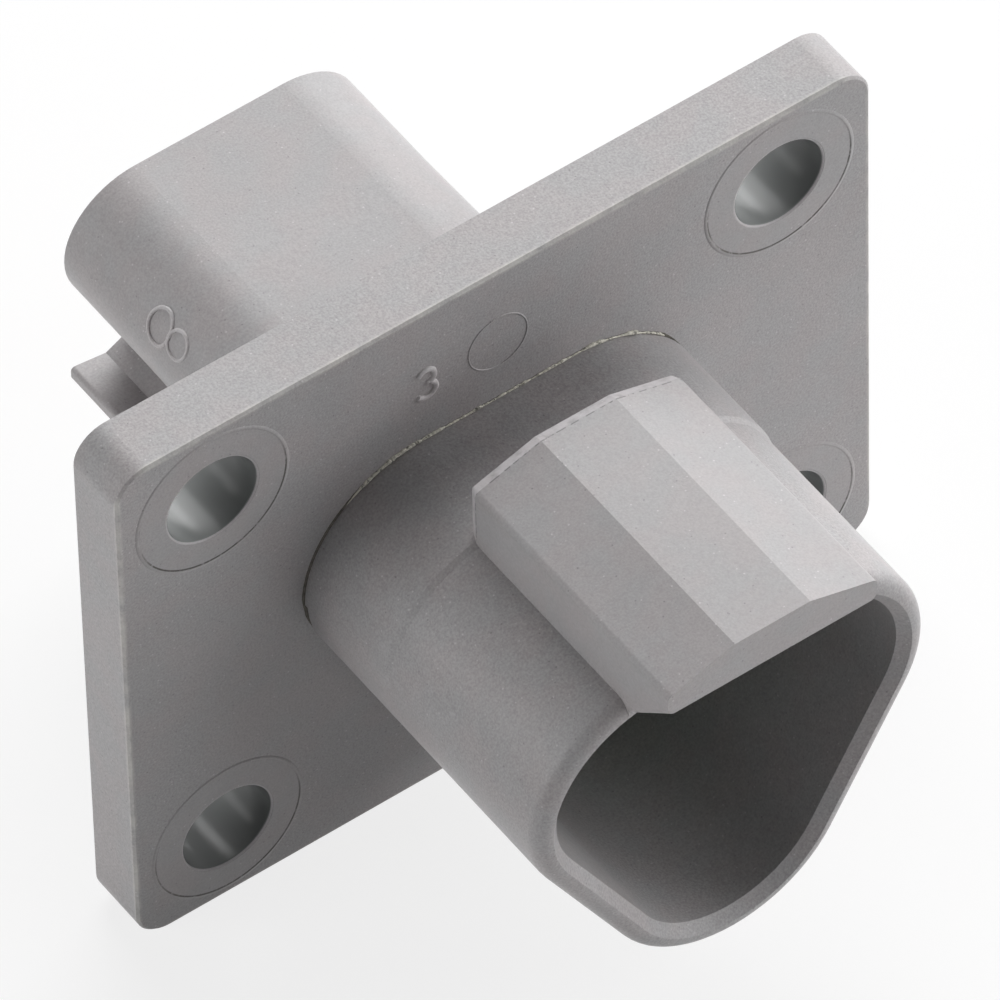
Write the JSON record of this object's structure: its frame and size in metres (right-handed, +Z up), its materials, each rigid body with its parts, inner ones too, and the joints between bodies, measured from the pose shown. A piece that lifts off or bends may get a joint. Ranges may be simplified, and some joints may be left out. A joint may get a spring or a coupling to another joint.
{
  "type": "panel_mount_receptacle",
  "caption": "Moulded panel mount receptacle with a rounded triangular mouth, a latch block on top, a square-cornered flange with screw holes, pin contacts and a rear wire seal",
  "frame": {"origin": "the middle of the flange's back face, on the panel plane", "axes": "+X along the flange's long side, +Z up towards the latch block, +Y into the panel, so the mouth opens towards -Y"},
  "size_m": [0.0402, 0.0423, 0.0314],
  "materials": {
    "grey_thermoplastic": "as moulded, fine matte grain",
    "seal_silicone": "soft, slightly oiled",
    "wedge_plastic": "as moulded",
    "plated_copper": "nickel plated, turned"
  },
  "bodies": {
    "root": {"housing": "grey_thermoplastic", "wire_seal": "seal_silicone", "wedge_lock": "wedge_plastic", "contact_1": "plated_copper", "contact_2": "plated_copper", "contact_3": "plated_copper"}
  },
  "joints": []
}
